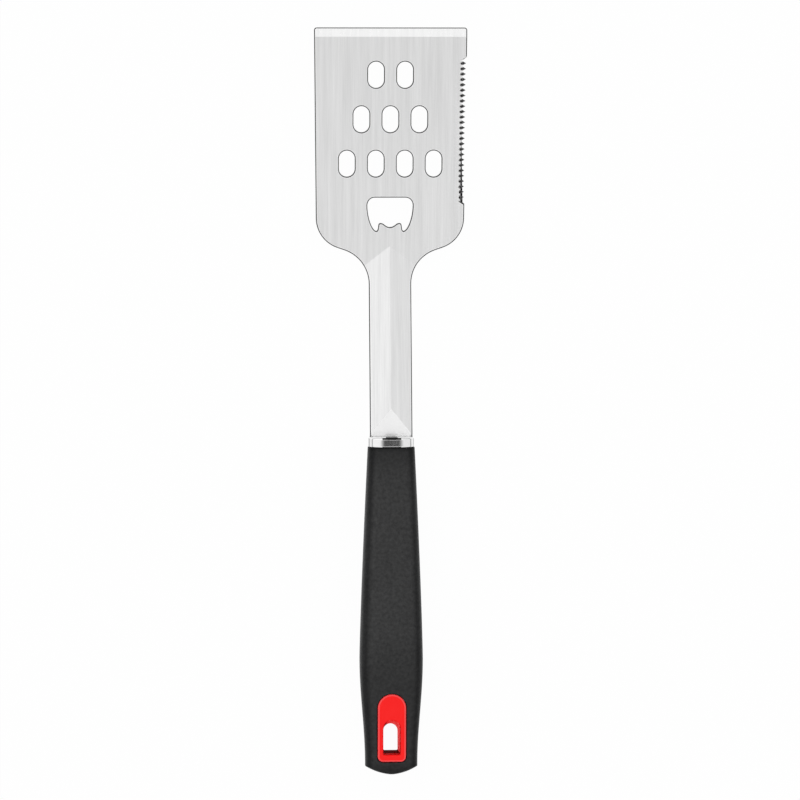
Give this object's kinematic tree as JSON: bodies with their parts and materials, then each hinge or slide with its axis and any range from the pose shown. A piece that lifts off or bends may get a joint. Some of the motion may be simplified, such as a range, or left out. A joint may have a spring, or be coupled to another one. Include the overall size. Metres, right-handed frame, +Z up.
{
  "type": "grill spatula",
  "caption": "Long grill spatula: slotted steel blade with a bottle opener and a serrated edge, ridged shank, chrome ferrule, black grip and a red hang eyelet.",
  "frame": {"origin": "middle of the tool, seen from above, on the table it lies on", "axes": "+Y from the butt of the grip to the blade's front edge, +X to the serrated edge, +Z up, cooking side of the blade up"},
  "size_m": [0.086, 0.4216, 0.0235],
  "materials": {
    "stainless": "brushed across, satin",
    "chrome": "polished",
    "core_plastic": "moulded",
    "rivet_steel": "plain",
    "grip_black": "fine matt grain",
    "eyelet_red": "satin"
  },
  "bodies": {
    "root": {"blade": "stainless", "ferrule": "chrome", "handle_core": "core_plastic", "tang_rivets": "rivet_steel", "front_shell": "grip_black", "rear_shell": "grip_black", "eyelet_front": "eyelet_red", "eyelet_rear": "eyelet_red"}
  },
  "joints": []
}
